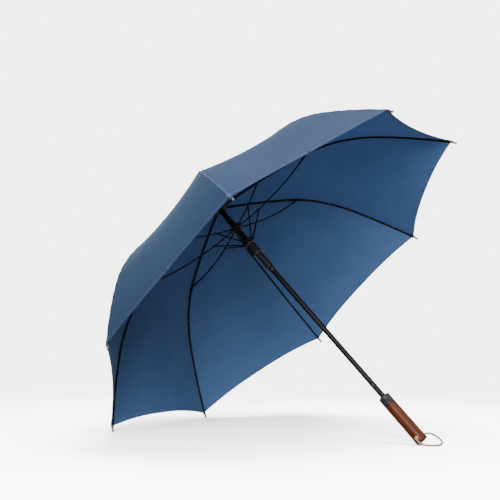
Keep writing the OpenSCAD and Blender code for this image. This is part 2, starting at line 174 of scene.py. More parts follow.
# ------------------------------------------------------------------ camera
SX = SHIFT_X / 1000
RIGHT, DOWN, FWD = Vector((0.8675, 0.4972, 0.0129)), Vector((-0.0218, 0.0640, -0.9977)), Vector((-0.4969, 0.8653, 0.0664))
RIGHT.normalize()
FWD = (FWD - FWD.dot(RIGHT) * RIGHT).normalized()
UP = RIGHT.cross(FWD)
cam_data = bpy.data.cameras.new("camera")
cam_data.lens = 71.35
cam_data.sensor_width = 36
cam_data.clip_end = 50
cam = bpy.data.objects.new("camera", cam_data)
m = Matrix.Identity(4)
for i, c in enumerate((RIGHT, UP, -FWD)):
    for j in range(3):
        m[j][i] = c[j]
m.translation = Vector((1.2350 + SX, -2.3476, 0.3113))
cam.matrix_world = m
scene.collection.objects.link(cam)
scene.camera = cam


# ------------------------------------------------------------------ materials
def new_mat(name):
    mt = bpy.data.materials.new(name)
    mt.use_nodes = True
    nt = mt.node_tree
    nt.nodes.clear()
    out = nt.nodes.new("ShaderNodeOutputMaterial")
    b = nt.nodes.new("ShaderNodeBsdfPrincipled")
    nt.links.new(b.outputs[0], out.inputs[0])
    return mt, nt, b, out


def node(nt, kind, **kw):
    n = nt.nodes.new(kind)
    for a, v in kw.items():
        setattr(n, a, v)
    return n


def coords(nt, scale=(1, 1, 1), rot=(0, 0, 0), kind="Object"):
    tc = node(nt, "ShaderNodeTexCoord")
    turn = node(nt, "ShaderNodeMapping")
    turn.inputs["Rotation"].default_value = rot
    mp = node(nt, "ShaderNodeMapping")
    mp.inputs["Scale"].default_value = scale
    nt.links.new(tc.outputs[kind], turn.inputs["Vector"])
    nt.links.new(turn.outputs[0], mp.inputs["Vector"])
    return mp.outputs[0]


def noise(nt, vec, scale, detail=3.0, rough=0.5):
    n = node(nt, "ShaderNodeTexNoise")
    n.inputs["Scale"].default_value = scale
    n.inputs["Detail"].default_value = detail
    n.inputs["Roughness"].default_value = rough
    nt.links.new(vec, n.inputs["Vector"])
    return n.outputs["Fac"]


def ramp(nt, fac, stops):
    r = node(nt, "ShaderNodeValToRGB")
    el = r.color_ramp.elements
    el[0].position, el[0].color = stops[0][0], (*stops[0][1], 1)
    el[1].position, el[1].color = stops[-1][0], (*stops[-1][1], 1)
    for p, c in stops[1:-1]:
        e = el.new(p)
        e.color = (*c, 1)
    nt.links.new(fac, r.inputs[0])
    return r.outputs[0]


def bump(nt, height, strength, distance, normal=None):
    b = node(nt, "ShaderNodeBump")
    b.inputs["Strength"].default_value = strength
    b.inputs["Distance"].default_value = distance
    nt.links.new(height, b.inputs["Height"])
    if normal is not None:
        nt.links.new(normal, b.inputs["Normal"])
    return b.outputs[0]


def math_node(nt, op, a, b=None):
    n = node(nt, "ShaderNodeMath", operation=op)
    for i, v in enumerate((a, b)):
        if v is None:
            continue
        if isinstance(v, (int, float)):
            n.inputs[i].default_value = v
        else:
            nt.links.new(v, n.inputs[i])
    return n.outputs[0]


SHAFT_ROT = (0, math.pi / 2 - LEAN, 0)


def fabric(name, dark, light, sheen, trans, trans_col, sheen_tint=(0.72, 0.83, 1.0), rough=0.72, spec=0.25):
    mt, nt, b, out = new_mat(name)
    vec = coords(nt, rot=SHAFT_ROT)
    big = noise(nt, vec, 7, 4, 0.55)
    fine = noise(nt, vec, 900, 2, 0.6)
    mix = math_node(nt, "ADD", math_node(nt, "MULTIPLY", big, 0.7), math_node(nt, "MULTIPLY", fine, 0.3))
    col = ramp(nt, mix, [(0.36, dark), (0.64, light)])
    nt.links.new(col, b.inputs["Base Color"])
    rr = ramp(nt, fine, [(0.3, (rough - 0.06,) * 3), (0.7, (rough + 0.06,) * 3)])
    nt.links.new(rr, b.inputs["Roughness"])
    b.inputs["Specular IOR Level"].default_value = spec
    b.inputs["Sheen Weight"].default_value = sheen
    b.inputs["Sheen Roughness"].default_value = 0.42
    b.inputs["Sheen Tint"].default_value = (*sheen_tint, 1)
    # plain weave: two crossed sets of threads
    wa = node(nt, "ShaderNodeTexWave", wave_type="BANDS", bands_direction="X")
    wb = node(nt, "ShaderNodeTexWave", wave_type="BANDS", bands_direction="Y")
    for w in (wa, wb):
        w.inputs["Scale"].default_value = 330
        w.inputs["Distortion"].default_value = 0.6
        w.inputs["Detail"].default_value = 1
        nt.links.new(vec, w.inputs["Vector"])
    weave = math_node(nt, "ADD", wa.outputs["Fac"], wb.outputs["Fac"])
    crease = noise(nt, coords(nt, scale=(9, 9, 3.2), rot=SHAFT_ROT), 1.0, 3, 0.5)
    n1 = bump(nt, crease, 0.22, 0.012)
    n2 = bump(nt, weave, 0.18, 0.00012, n1)
    nt.links.new(n2, b.inputs["Normal"])
    if trans > 0:
        tr = node(nt, "ShaderNodeBsdfTranslucent")
        tr.inputs["Color"].default_value = (*trans_col, 1)
        ms = node(nt, "ShaderNodeMixShader")
        ms.inputs[0].default_value = trans
        nt.links.new(b.outputs[0], ms.inputs[1])
        nt.links.new(tr.outputs[0], ms.inputs[2])
        nt.links.new(ms.outputs[0], out.inputs[0])
    return mt


# Painted shade: the outer face of the cloth gets a far darker colour than the inner face of the same cloth, standing
# in for the shade on the outside of the canopy.
M_EXT_PAINTED_SHADE = fabric("cloth outer face", (0.0058, 0.0145, 0.037), (0.0084, 0.0190, 0.047), 0.10, 0.10, (0.10, 0.45, 0.9), (0.50, 0.75, 1.0), spec=0.08)
M_INT = fabric("cloth inner face", (0.044, 0.092, 0.200), (0.056, 0.108, 0.232), 0.04, 0.14, (0.0, 0.28, 0.80), spec=0.15)
M_HEM = fabric("seam cloth", (0.010, 0.022, 0.050), (0.015, 0.030, 0.066), 0.15, 0.0, (0, 0, 0))
M_STRAP = fabric("strap cloth", (0.006, 0.011, 0.026), (0.012, 0.020, 0.042), 0.2, 0.0, (0, 0, 0))


def thread(name, dark, light):
    mt, nt, b, out = new_mat(name)
    vec = coords(nt)
    col = ramp(nt, noise(nt, vec, 700, 2), [(0.35, dark), (0.65, light)])
    nt.links.new(col, b.inputs["Base Color"])
    b.inputs["Roughness"].default_value = 0.7
    b.inputs["Sheen Weight"].default_value = 0.3
    nt.links.new(bump(nt, noise(nt, vec, 1500, 1), 0.3, 0.0002), b.inputs["Normal"])
    return mt


M_THREAD = thread("sewing thread", (0.030, 0.055, 0.105), (0.045, 0.075, 0.135))
M_LINE = thread("seam line thread", (0.085, 0.11, 0.155), (0.12, 0.15, 0.20))
M_TIE = thread("tie thread", (0.008, 0.010, 0.016), (0.018, 0.022, 0.034))


def coated(name, dark, light, rough, coat, bump_s, scale=240, metal=0.0, spec=0.5):
    mt, nt, b, out = new_mat(name)
    vec = coords(nt, rot=SHAFT_ROT)
    f = noise(nt, vec, scale, 4, 0.6)
    cloudy = noise(nt, vec, 14, 3, 0.5)
    nt.links.new(ramp(nt, cloudy, [(0.3, dark), (0.7, light)]), b.inputs["Base Color"])
    nt.links.new(ramp(nt, f, [(0.3, (max(rough - 0.07, 0.02),) * 3), (0.72, (rough + 0.09,) * 3)]), b.inputs["Roughness"])
    b.inputs["Metallic"].default_value = metal
    b.inputs["Specular IOR Level"].default_value = spec
    b.inputs["Coat Weight"].default_value = coat
    b.inputs["Coat Roughness"].default_value = 0.16
    nt.links.new(bump(nt, f, bump_s, 0.0003), b.inputs["Normal"])
    return mt


M_RIB = coated("painted rib rod", (0.0020, 0.0022, 0.0028), (0.0030, 0.0032, 0.0040), 0.52, 0.0, 0.10, 420, spec=0.12)
M_SHAFT = coated("painted shaft", (0.0022, 0.0024, 0.0030), (0.0034, 0.0036, 0.0044), 0.50, 0.0, 0.05, 300, spec=0.12)
M_PLASTIC = coated("moulded nylon", (0.0060, 0.0062, 0.0068), (0.010, 0.010, 0.011), 0.48, 0.0, 0.18, 520, spec=0.4)
M_COLLAR = coated("collar plastic", (0.007, 0.007, 0.008), (0.012, 0.012, 0.013), 0.5, 0.0, 0.12, 460, spec=0.2)
M_BUTTON = coated("button plastic", (0.004, 0.004, 0.005), (0.007, 0.007, 0.008), 0.55, 0.0, 0.10, 500, spec=0.12)
M_TIP = coated("rib tip cup", (0.012, 0.012, 0.014), (0.022, 0.022, 0.024), 0.22, 0.6, 0.06, 300)
M_STEEL = coated("plated steel", (0.24, 0.24, 0.25), (0.36, 0.36, 0.37), 0.32, 0.0, 0.10, 600, metal=1.0)
M_CATCH = coated("catch steel", (0.03, 0.03, 0.032), (0.06, 0.06, 0.063), 0.42, 0.0, 0.10, 600, metal=0.9)
M_SPRING = coated("spring wire", (0.055, 0.055, 0.060), (0.095, 0.095, 0.10), 0.34, 0.0, 0.12, 700, metal=0.9)
M_RING = coated("trim ring", (0.30, 0.27, 0.22), (0.44, 0.40, 0.33), 0.32, 0.2, 0.08, 500, metal=0.85)


def wood():
    mt, nt, b, out = new_mat("lacquered hardwood")
    warp = noise(nt, coords(nt, scale=(16, 16, 5), rot=SHAFT_ROT), 1.0, 2)
    vec = coords(nt, scale=(150, 150, 7.5), rot=SHAFT_ROT)
    vadd = node(nt, "ShaderNodeVectorMath", operation="ADD")
    comb = node(nt, "ShaderNodeCombineXYZ")
    wv = math_node(nt, "MULTIPLY", warp, 5.0)
    nt.links.new(wv, comb.inputs[0])
    nt.links.new(wv, comb.inputs[1])
    nt.links.new(vec, vadd.inputs[0])
    nt.links.new(comb.outputs[0], vadd.inputs[1])
    grain = noise(nt, vadd.outputs[0], 1.0, 6, 0.62)
    pores = noise(nt, coords(nt, scale=(900, 900, 45), rot=SHAFT_ROT), 1.0, 2, 0.5)
    both = math_node(nt, "ADD", math_node(nt, "MULTIPLY", grain, 0.8), math_node(nt, "MULTIPLY", pores, 0.2))
    col = ramp(nt, both, [(0.30, (0.020, 0.0036, 0.0010)), (0.45, (0.043, 0.0080, 0.0020)), (0.58, (0.068, 0.0135, 0.0033)), (0.72, (0.095, 0.0210, 0.0054))])
    nt.links.new(col, b.inputs["Base Color"])
    nt.links.new(ramp(nt, pores, [(0.3, (0.50,) * 3), (0.7, (0.40,) * 3)]), b.inputs["Roughness"])
    b.inputs["Specular IOR Level"].default_value = 0.10
    b.inputs["Coat Weight"].default_value = 0.02
    b.inputs["Coat Roughness"].default_value = 0.3
    nt.links.new(bump(nt, both, 0.12, 0.0004), b.inputs["Normal"])
    return mt


M_WOOD = wood()


def leather(name, stops, along=None):
    mt, nt, b, out = new_mat(name)
    vec = coords(nt)
    grain = noise(nt, vec, 900, 4, 0.6)
    if along is None:
        f = noise(nt, vec, 120, 3)
    else:
        sep = node(nt, "ShaderNodeSeparateXYZ")
        nt.links.new(vec, sep.inputs[0])
        mr = node(nt, "ShaderNodeMapRange")
        mr.inputs["From Min"].default_value = along[0]
        mr.inputs["From Max"].default_value = along[1]
        nt.links.new(sep.outputs["Y"], mr.inputs["Value"])
        f = math_node(nt, "ADD", mr.outputs[0], math_node(nt, "MULTIPLY", math_node(nt, "SUBTRACT", noise(nt, vec, 160, 2), 0.5), 0.5))
    nt.links.new(ramp(nt, f, stops), b.inputs["Base Color"])
    b.inputs["Roughness"].default_value = 0.52
    b.inputs["Sheen Weight"].default_value = 0.1
    nt.links.new(bump(nt, grain, 0.35, 0.0006), b.inputs["Normal"])
    return mt


M_CORD = leather("cord leather", [(0.0, (0.23, 0.105, 0.055)), (0.42, (0.19, 0.085, 0.045)), (0.62, (0.045, 0.018, 0.011)), (1.0, (0.028, 0.012, 0.008))], along=(-0.03, 0.03))
M_KNOT = leather("knot lace", [(0.3, (0.24, 0.13, 0.075)), (0.7, (0.40, 0.25, 0.16))])


# ------------------------------------------------------------------ mesh helpers
def make(name, verts, faces, mats, face_mat=None, normals=None, smooth=True):
    me = bpy.data.meshes.new(name)
    me.from_pydata([tuple(v) for v in verts], [], faces)
    for mt in mats:
        me.materials.append(mt)
    if face_mat:
        me.polygons.foreach_set("material_index", face_mat)
    me.polygons.foreach_set("use_smooth", [smooth] * len(me.polygons))
    me.update()
    if normals is not None:
        me.normals_split_custom_set(normals)
    else:
        bm = bmesh.new()
        bm.from_mesh(me)
        bmesh.ops.recalc_face_normals(bm, faces=bm.faces)
        bm.to_mesh(me)
        bm.free()
    ob = bpy.data.objects.new(name, me)
    scene.collection.objects.link(ob)
    return ob


def tube_mesh(pts, radius, sides=10, closed=False, cap=True):
    """Vertices and faces of a round tube along points, with a frame carried along it."""
    n = len(pts)
    tang = []
    for i in range(n):
        a = pts[(i - 1) % n] if closed or i > 0 else pts[i]
        b = pts[(i + 1) % n] if closed or i < n - 1 else pts[i]
        tang.append((b - a).normalized())
    up = tang[0].orthogonal().normalized()
    verts, faces = [], []
    for i in range(n):
        up = (up - up.dot(tang[i]) * tang[i]).normalized()
        side = tang[i].cross(up)
        r = radius[i] if isinstance(radius, (list, tuple)) else radius
        for j in range(sides):
            a = 2 * math.pi * j / sides
            verts.append(pts[i] + r * (math.cos(a) * up + math.sin(a) * side))
    last = n if closed else n - 1
    for i in range(last):
        for j in range(sides):
            a, b = i * sides + j, i * sides + (j + 1) % sides
            c, d = ((i + 1) % n) * sides + (j + 1) % sides, ((i + 1) % n) * sides + j
            faces.append((a, b, c, d))
    if cap and not closed:
        faces.append(tuple(range(sides))[::-1])
        faces.append(tuple((n - 1) * sides + j for j in range(sides)))
    return verts, faces


def revolve_mesh(profile, place, steps=32):
    """A turned form: profile is [(radius, height)], place(x, y, z) gives the row point. Radius 0 makes a pole."""
    verts, faces, rings = [], [], []
    for r, h in profile:
        if r < 1e-6:
            rings.append([len(verts)])
            verts.append(place(0, 0, h))
        else:
            rings.append(list(range(len(verts), len(verts) + steps)))
            verts += [place(r * math.cos(2 * math.pi * j / steps), r * math.sin(2 * math.pi * j / steps), h) for j in range(steps)]
    for a, b in zip(rings, rings[1:]):
        for j in range(steps):
            k = (j + 1) % steps
            if len(a) == 1 and len(b) == 1:
                continue
            if len(a) == 1:
                faces.append((a[0], b[k], b[j]))
            elif len(b) == 1:
                faces.append((a[j], a[k], b[0]))
            else:
                faces.append((a[j], a[k], b[k], b[j]))
    return verts, faces


def join(parts):
    verts, faces = [], []
    for v, f in parts:
        o = len(verts)
        verts += list(v)
        faces += [tuple(i + o for i in q) for q in f]
    return verts, faces


# ------------------------------------------------------------------ wrist cord, first of all
ROUTE = [
    (0, -8, 0), (0, -14, 0), (0.9, -19.6, -1.2), (4.2, -24.2, -5.0), (10.2, -25.8, -10.1), (18.4, -22.4, -14.2), (28.4, -15.5, -16.6),
    (38.4, -8, -16.8), (47.4, 0, -16.6), (53, 8.2, -15.4), (54, 16.5, -12.2), (50, 23.9, -8.5), (42, 28.3, -3.2), (32.4, 30, 2),
    (22.4, 29, 6.5), (13.6, 27.3, 7.6), (7.2, 24.4, 6.0), (2.6, 20.0, 2.8), (0.4, 14.2, 0.4), (0, 8, 0),
]
HOLE = row((0, 0, HOLE_Z))


def catmull(pts, steps):
    q = [2 * pts[0] - pts[1]] + list(pts) + [2 * pts[-1] - pts[-2]]
    out = []
    for i in range(len(pts) - 1):
        a, b, c, d = q[i:i + 4]
        for s in range(steps):
            t = s / steps
            out.append(0.5 * (2 * b + (c - a) * t + (2 * a - 5 * b + 4 * c - d) * t * t + (3 * b - a - 3 * c + d) * t ** 3))
    out.append(pts[-1])
    return out


cord_pts = catmull([HOLE + Vector(p) / 1000 for p in ROUTE], 6)
cord_len = sum((b - a).length for a, b in zip(cord_pts, cord_pts[1:]))
cv = bpy.data.curves.new("wrist_loop", "CURVE")
cv.dimensions = "3D"
sp = cv.splines.new("POLY")
sp.points.add(len(cord_pts) - 1)
for p, q in zip(sp.points, cord_pts):
    p.co = (*q, 1)
cv.bevel_depth = 0.00225
cv.bevel_resolution = 4
cv.use_fill_caps = True
cv.materials.append(M_CORD)
cord = bpy.data.objects.new("wrist_loop", cv)
scene.collection.objects.link(cord)
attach(cord, "body_open")
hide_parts("wrist_cord")

# The lace at the hole: wrapped twice round the cord and tucked over itself
lace = []
for i in range(0, 97):
    a = 2 * math.pi * i / 40
    f = i / 96
    r = 3.55 + 0.2 * math.sin(a * 2.5)
    lace.append(HOLE + Vector((r * math.cos(a) + 0.3 + 1.2 * f, -17.4 - 3.1 * f, r * math.sin(a) - 0.4 - 1.5 * f)) / 1000)
for i in range(1, 12):
    u = i / 11
    b = 2 * math.pi * 96 / 40 + 1.3 * u
    r = 3.6 + 0.9 * math.sin(math.pi * u)
    lace.append(HOLE + Vector((r * math.cos(b) + 1.5 - 1.1 * u, -20.5 + 3.0 * u, r * math.sin(b) - 1.9 + 1.4 * u)) / 1000)
v1, f1 = tube_mesh(lace, 0.00125, 10)
knot = make("lace_knot", v1, f1, [M_KNOT])
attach(knot, "body_open")
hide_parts("cord_knot")
tuple(cord_pts[0])


# ------------------------------------------------------------------ canopy
T_STEPS = 12
EXT, INN = 0.6, 0.0
ANCHOR = (J_P[0], J_P[1])


def crumple(ob, k, side, part):
    """Give a piece of cloth its own copy of its mesh."""
    tuple(ribpt(k, ANCHOR[0], 0, ANCHOR[1]))
    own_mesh(ob)


def xs_at(part, t, n):
    """Stations out along the ribs at share t."""
    if part == "inner":
        a, b = 10.0, x_cut(t)
        return [a + (b - a) * (i / n) ** 0.85 for i in range(n + 1)]
    a, b = x_cut(t), hem_r(t)
    return [a + (b - a) * i / n for i in range(n + 1)]


def gore_half(k, side, part):
    n = 18 if part == "inner" else 30
    ts = [0.5 * j / T_STEPS for j in range(T_STEPS + 1)]
    grid = [[(x, t) for x in xs_at(part, t, n)] for t in ts]
    nx = n + 1
    verts, norms = [], []
    for e in (INN, EXT):
        for col in grid:
            for x, t in col:
                verts.append(cloth(k, side, x, t, e))
                norms.append(cloth_n(k, side, x, t) * (1 if e == EXT else -1))
    half = nx * len(ts)
    faces, fm, ln = [], [], []

    def quad(a, b, c, d, mat, flat=None):
        q = (a, b, c, d)
        faces.append(q)
        fm.append(mat)
        for i in q:
            ln.append(tuple(flat if flat is not None else norms[i]))

    def idx(layer, j, i):
        return layer * half + j * nx + i

    for j in range(len(ts) - 1):
        for i in range(n):
            a, b, c, d = idx(1, j, i), idx(1, j, i + 1), idx(1, j + 1, i + 1), idx(1, j + 1, i)
            quad(*((a, b, c, d) if side > 0 else (d, c, b, a)), 0)
            a, b, c, d = idx(0, j, i), idx(0, j, i + 1), idx(0, j + 1, i + 1), idx(0, j + 1, i)
            quad(*((d, c, b, a) if side > 0 else (a, b, c, d)), 1)
    loop = [(j, 0) for j in range(len(ts))] + [(len(ts) - 1, i) for i in range(1, nx)] + [(j, n) for j in range(len(ts) - 2, -1, -1)] + [(0, i) for i in range(n - 1, 0, -1)]
    for (j0, i0), (j1, i1) in zip(loop, loop[1:] + loop[:1]):
        a, b, c, d = idx(0, j0, i0), idx(0, j1, i1), idx(1, j1, i1), idx(1, j0, i0)
        q = (a, b, c, d) if side < 0 else (d, c, b, a)
        v = [verts[i] for i in q]
        fn = (v[1] - v[0]).cross(v[2] - v[0]).normalized()
        quad(*q, 1, fn)
    ob = make(f"gore_{k}_{'a' if side > 0 else 'b'}_{part}", verts, faces, [M_EXT_PAINTED_SHADE, M_INT], fm, ln)
    area = 0.0
    for j in range(len(ts) - 1):
        for i in range(n):
            a, b, c, d = (verts[idx(1, j, i)], verts[idx(1, j, i + 1)], verts[idx(1, j + 1, i + 1)], verts[idx(1, j + 1, i)])
            area += (c - a).cross(d - b).length / 2
    wide = max((verts[idx(1, len(ts) - 1, i)] - verts[idx(1, 0, i)]).length for i in range(nx))
    long = sum((verts[idx(1, 0, i + 1)] - verts[idx(1, 0, i)]).length for i in range(n))
    long = max(long, area / wide * 1.02)
    return ob, (wide, long), area


for k in range(8):
    for side in (1, -1):
        for part in ("inner", "outer"):
            ob, flat, area = gore_half(k, side, part)
            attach(ob, f"{part}_{k}")
            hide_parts(panel(k, side))
            crumple(ob, k, side, part)


def slab(rows_lo, rows_hi):
    """A closed slab between two grids of points (lists of rows)."""
    nr, nc = len(rows_lo), len(rows_lo[0])
    verts = [p for r in rows_lo for p in r] + [p for r in rows_hi for p in r]
    h = nr * nc
    faces = []
    for i in range(nr - 1):
        for j in range(nc - 1):
            a = i * nc + j
            faces.append((a, a + 1, a + nc + 1, a + nc))
            faces.append((h + a + nc, h + a + nc + 1, h + a + 1, h + a))
    for i in range(nr - 1):
        a, b = i * nc, (i + 1) * nc
        faces.append((b, h + b, h + a, a))
        a, b = i * nc + nc - 1, (i + 1) * nc + nc - 1
        faces.append((a, h + a, h + b, b))
    for j in range(nc - 1):
        faces.append((j, h + j, h + j + 1, j + 1))
        a = (nr - 1) * nc + j
        faces.append((a + 1, h + a + 1, h + a, a))
    return verts, faces


def stitch(a, b, up, wid, high):
    """One small stitch from a to b."""
    d = (b - a).normalized()
    s = d.cross(up).normalized()
    v = []
    for f, g in ((0, 0.35), (0.25, 1), (0.75, 1), (1, 0.35)):
        p = a + (b - a) * f
        v += [p - s * wid * g, p + up * high * g, p + s * wid * g]
    f = []
    for i in range(3):
        o = i * 3
        f += [(o, o + 1, o + 4, o + 3), (o + 1, o + 2, o + 5, o + 4), (o + 2, o, o + 3, o + 5)]
    f += [(2, 1, 0), (9, 10, 11)]
    return v, f


# Hem: the cloth turned over and sewn, with its line of stitches, one piece for each half gore
for k in range(8):
    for side in (1, -1):
        n = 26
        lo, hi = [], []
        for j in range(n + 1):
            t = 0.5 * j / n
            h = hem_r(t)
            prof = [(-7.0, 0.60, 0.0), (-6.7, 0.80, -0.22), (-3.6, 0.86, -0.34), (-0.5, 0.86, -0.34), (0.35, 0.66, -0.12), (0.6, 0.34, 0.2)]
            hi.append([cloth(k, side, h + dx, t, eo) for dx, eo, ei in prof])
            lo.append([cloth(k, side, h + dx, t, ei) for dx, eo, ei in prof])
        v, f = slab(lo, hi)
        if side < 0:
            f = [q[::-1] for q in f]
        half = len(v) // 2
        mats = [1 if max(q) < half else 0 for q in f]
        parts = [(v, f)]
        ns = int(225 / 3.1)
        for i in range(ns):
            t0, t1 = 0.5 * (i + 0.12) / ns, 0.5 * (i + 0.82) / ns
            for e, sg in ((0.86, 1), (-0.34, -1)):
                a, b = cloth(k, side, hem_r(t0) - 5.2, t0, e), cloth(k, side, hem_r(t1) - 5.2, t1, e)
                sv, sf = stitch(a, b, cloth_n(k, side, hem_r(t0) - 5.2, t0) * sg, 0.00022, 0.00022)
                parts.append((sv, sf))
                mats += [2] * len(sf)
        v, f = join(parts)
        ob = make(f"hem_{k}_{'a' if side > 0 else 'b'}", v, f, [M_EXT_PAINTED_SHADE, M_INT, M_THREAD], mats)
        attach(ob, f"outer_{k}")
        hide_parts(panel(k, side))
        crumple(ob, k, side, "outer")


# Seams along each rib: a felled ridge outside, the turned allowance inside
def across(k, x, w, e):
    side = 1 if w >= 0 else -1
    return cloth(k, side, x, min(abs(w) / (C45 * x), 0.45), e)


for k in range(8):
    for part, x0, x1, n in (("inner", 24, 284, 44), ("outer", 284, 592, 56)):
        xs = [x0 + (x1 - x0) * i / n for i in range(n + 1)]
        parts, mats = [], []
        top = [(-1.5, 0.60), (-1.2, 0.84), (-0.5, 1.0), (0, 1.02), (0.5, 1.0), (1.2, 0.84), (1.5, 0.60)]
        g = min(1.0, 1.0)
        hi = [[across(k, x, w * min(1, x / 60), e) for w, e in top] for x in xs]
        lo = [[across(k, x, w * min(1, x / 60), 0.3) for w, e in top] for x in xs]
        v, f = slab(lo, hi)
        parts.append((v, f))
        mats += [2] * len(f)
        under = [(-2.3, -0.1), (-2.0, -0.75), (-1.0, -1.1), (0, -1.2), (1.0, -1.1), (2.0, -0.75), (2.3, -0.1)]
        lo = [[across(k, x, w * min(1, x / 60), e) for w, e in under] for x in xs]
        hi = [[across(k, x, w * min(1, x / 60), 0.25) for w, e in under] for x in xs]
        v, f = slab(lo, hi)
        parts.append((v, f))
        mats += [0] * len(f)
        ns = int((x1 - x0) / 3.2)
        for i in range(ns):
            a0, a1 = x0 + (x1 - x0) * (i + 0.15) / ns, x0 + (x1 - x0) * (i + 0.8) / ns
            for w in (-0.75, 0.75):
                ww = w * min(1, a0 / 60)
                a, b = across(k, a0, ww, 0.95), across(k, a1, ww, 0.95)
                v, f = stitch(a, b, cloth_n(k, 1, a0, 0.01), 0.00030, 0.00025)
                parts.append((v, f))
                mats += [1] * len(f)
        v, f = join(parts)
        ob = make(f"rib_seam_{k}_{part}", v, f, [M_HEM, M_LINE, M_EXT_PAINTED_SHADE], mats)
        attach(ob, f"{part}_{k}")
        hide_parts(panel(k, 1))


# ------------------------------------------------------------------ on the ribs
def rib_axes(k, x):
    s = rib_s(x) * D2R
    c = ribpt(k, x, 0, rib_h(x))
    return c, ribdir(k, math.cos(s), 0, -math.sin(s)), ribdir(k, math.sin(s), 0, math.cos(s)), ribdir(k, 0, 1, 0)


def tie(k, x):
    """Three turns of thread that hold the cloth down to the rib, and their knot."""
    c, along, up, side = rib_axes(k, x)
    pts = []
    for i in range(0, 73):
        a = 2 * math.pi * i / 24
        pts.append(c + along * (i / 72 - 0.5) * 0.0026 + side * math.cos(a) * 0.00268 + up * (math.sin(a) * 0.00282 + 0.00016))
    v, f = tube_mesh(pts, 0.00042, 6)
    kv, kf = [], []
    for j in range(7):
        th = math.pi * j / 6
        for i in range(10):
            ph = 2 * math.pi * i / 10
            kv.append(c - up * 0.0029 + side * 0.0011 * math.sin(th) * math.cos(ph) + along * 0.0015 * math.cos(th) - up * 0.0009 * math.sin(th) * math.sin(ph))
    for j in range(6):
        for i in range(10):
            kf.append((j * 10 + i, j * 10 + (i + 1) % 10, (j + 1) * 10 + (i + 1) % 10, (j + 1) * 10 + i))
    return join([(v, f), (kv, kf)])


for k in range(8):
    for part, at in (("inner", (96, 176, 246)), ("outer", (330, 388, 436, 492, 546))):
        v, f = join([tie(k, x) for x in at])
        ob = make(f"ties_{k}_{part}", v, f, [M_TIE])
        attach(ob, f"{part}_{k}")
        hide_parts(panel(k, 1))

# Tip cups over the rib ends, and the corner of cloth that is sewn to each
for k in range(8):
    s = rib_s(600) * D2R
    o = ribpt(k, 600, 0, 0)
    along, up, side = ribdir(k, math.cos(s), 0, -math.sin(s)), ribdir(k, math.sin(s), 0, math.cos(s)), ribdir(k, 0, 1, 0)

    def place(x, y, h, o=o, along=along, up=up, side=side):
        return o + (along * h + up * x + side * y) / 1000

    prof = [(2.25, -15.5), (2.7, -15.3), (2.95, -14.7), (2.95, -12.6), (2.72, -12.1), (2.72, -9.2), (2.95, -8.7), (3.02, -7.9), (2.95, -7.1), (2.75, -6.6), (2.75, -1.6), (2.98, -0.6), (3.02, 0.4), (2.86, 1.2), (2.45, 1.95), (1.7, 2.6), (0.9, 2.93), (0, 3.0)]
    v, f = revolve_mesh(prof, place, 28)
    ob = make(f"tip_cup_{k}", v, f, [M_TIP])
    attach(ob, f"outer_{k}")
    lo, hi = [], []
    for i in range(9):
        x = 586.5 + 11.5 * i / 8
        w = 4.6 - 2.0 * i / 8
        drop = 0.9 * max(0, (x - 592.5) / 5.5)
        hi.append([ribpt(k, x, q * w, cloth_h(x) + (1.15 - 0.25 * abs(q)) / math.cos(rib_s(x) * D2R) - drop) for q in (-1, -0.5, 0, 0.5, 1)])
        lo.append([ribpt(k, x, q * w, cloth_h(x) + (-0.75 + 0.1 * abs(q)) / math.cos(rib_s(x) * D2R) - drop) for q in (-1, -0.5, 0, 0.5, 1)])
    v, f = slab(lo, hi)
    ob = make(f"corner_{k}", v, f, [M_HEM])
    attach(ob, f"outer_{k}")
    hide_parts(panel(k, 1))

# Round heads of the pin through each rib joint and stretcher fork
for k in range(8):
    parts = []
    for sg in (-1, 1):
        o = ribpt(k, J_P[0], sg * 4.25, J_P[1])
        ax, u1, u2 = ribdir(k, 0, sg, 0), ribdir(k, 1, 0, 0), ribdir(k, 0, 0, 1)

        def place(x, y, h, o=o, ax=ax, u1=u1, u2=u2):
            return o + (ax * h + u1 * x + u2 * y) / 1000

        parts.append(revolve_mesh([(1.75, 0), (1.7, 0.35), (1.35, 0.72), (0.75, 0.92), (0, 0.98)], place, 20))
    v, f = join(parts)
    ob = make(f"pin_heads_{k}", v, f, [M_RIB])
    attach(ob, f"stay_{k}")

# Crown: a pinked round of cloth under the cap, on the outside
n = 64
lo, hi = [], []
for i in range(7):
    rr = 9.0 + 24.0 * i / 6
    rowl, rowh = [], []
    for j in range(n + 1):
        a = 2 * math.pi * (j % n) / n
        r = rr + (0.9 if (j % n) % 2 else -0.9) * (i == 6)
        p = cloth_local(r, 0, 0)
        rowl.append(row((r * math.cos(a), r * math.sin(a), p[2] + 0.75)))
        rowh.append(row((r * math.cos(a), r * math.sin(a), p[2] + 1.35)))
    lo.append(rowl)
    hi.append(rowh)
verts = [p for r in lo for p in r[:-1]] + [p for r in hi for p in r[:-1]]
h = 7 * n
faces = []
for i in range(6):
    for j in range(n):
        a, b, c, d = i * n + j, i * n + (j + 1) % n, (i + 1) * n + (j + 1) % n, (i + 1) * n + j
        faces.append((a, b, c, d))
        faces.append((h + d, h + c, h + b, h + a))
for j in range(n):
    a, b = j, (j + 1) % n
    faces.append((b, a, h + a, h + b))
    a, b = 6 * n + j, 6 * n + (j + 1) % n
    faces.append((a, b, h + b, h + a))
rosette = make("crown_round", verts, faces, [M_HEM])
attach(rosette, "body_open")
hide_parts(panel(0, 1))

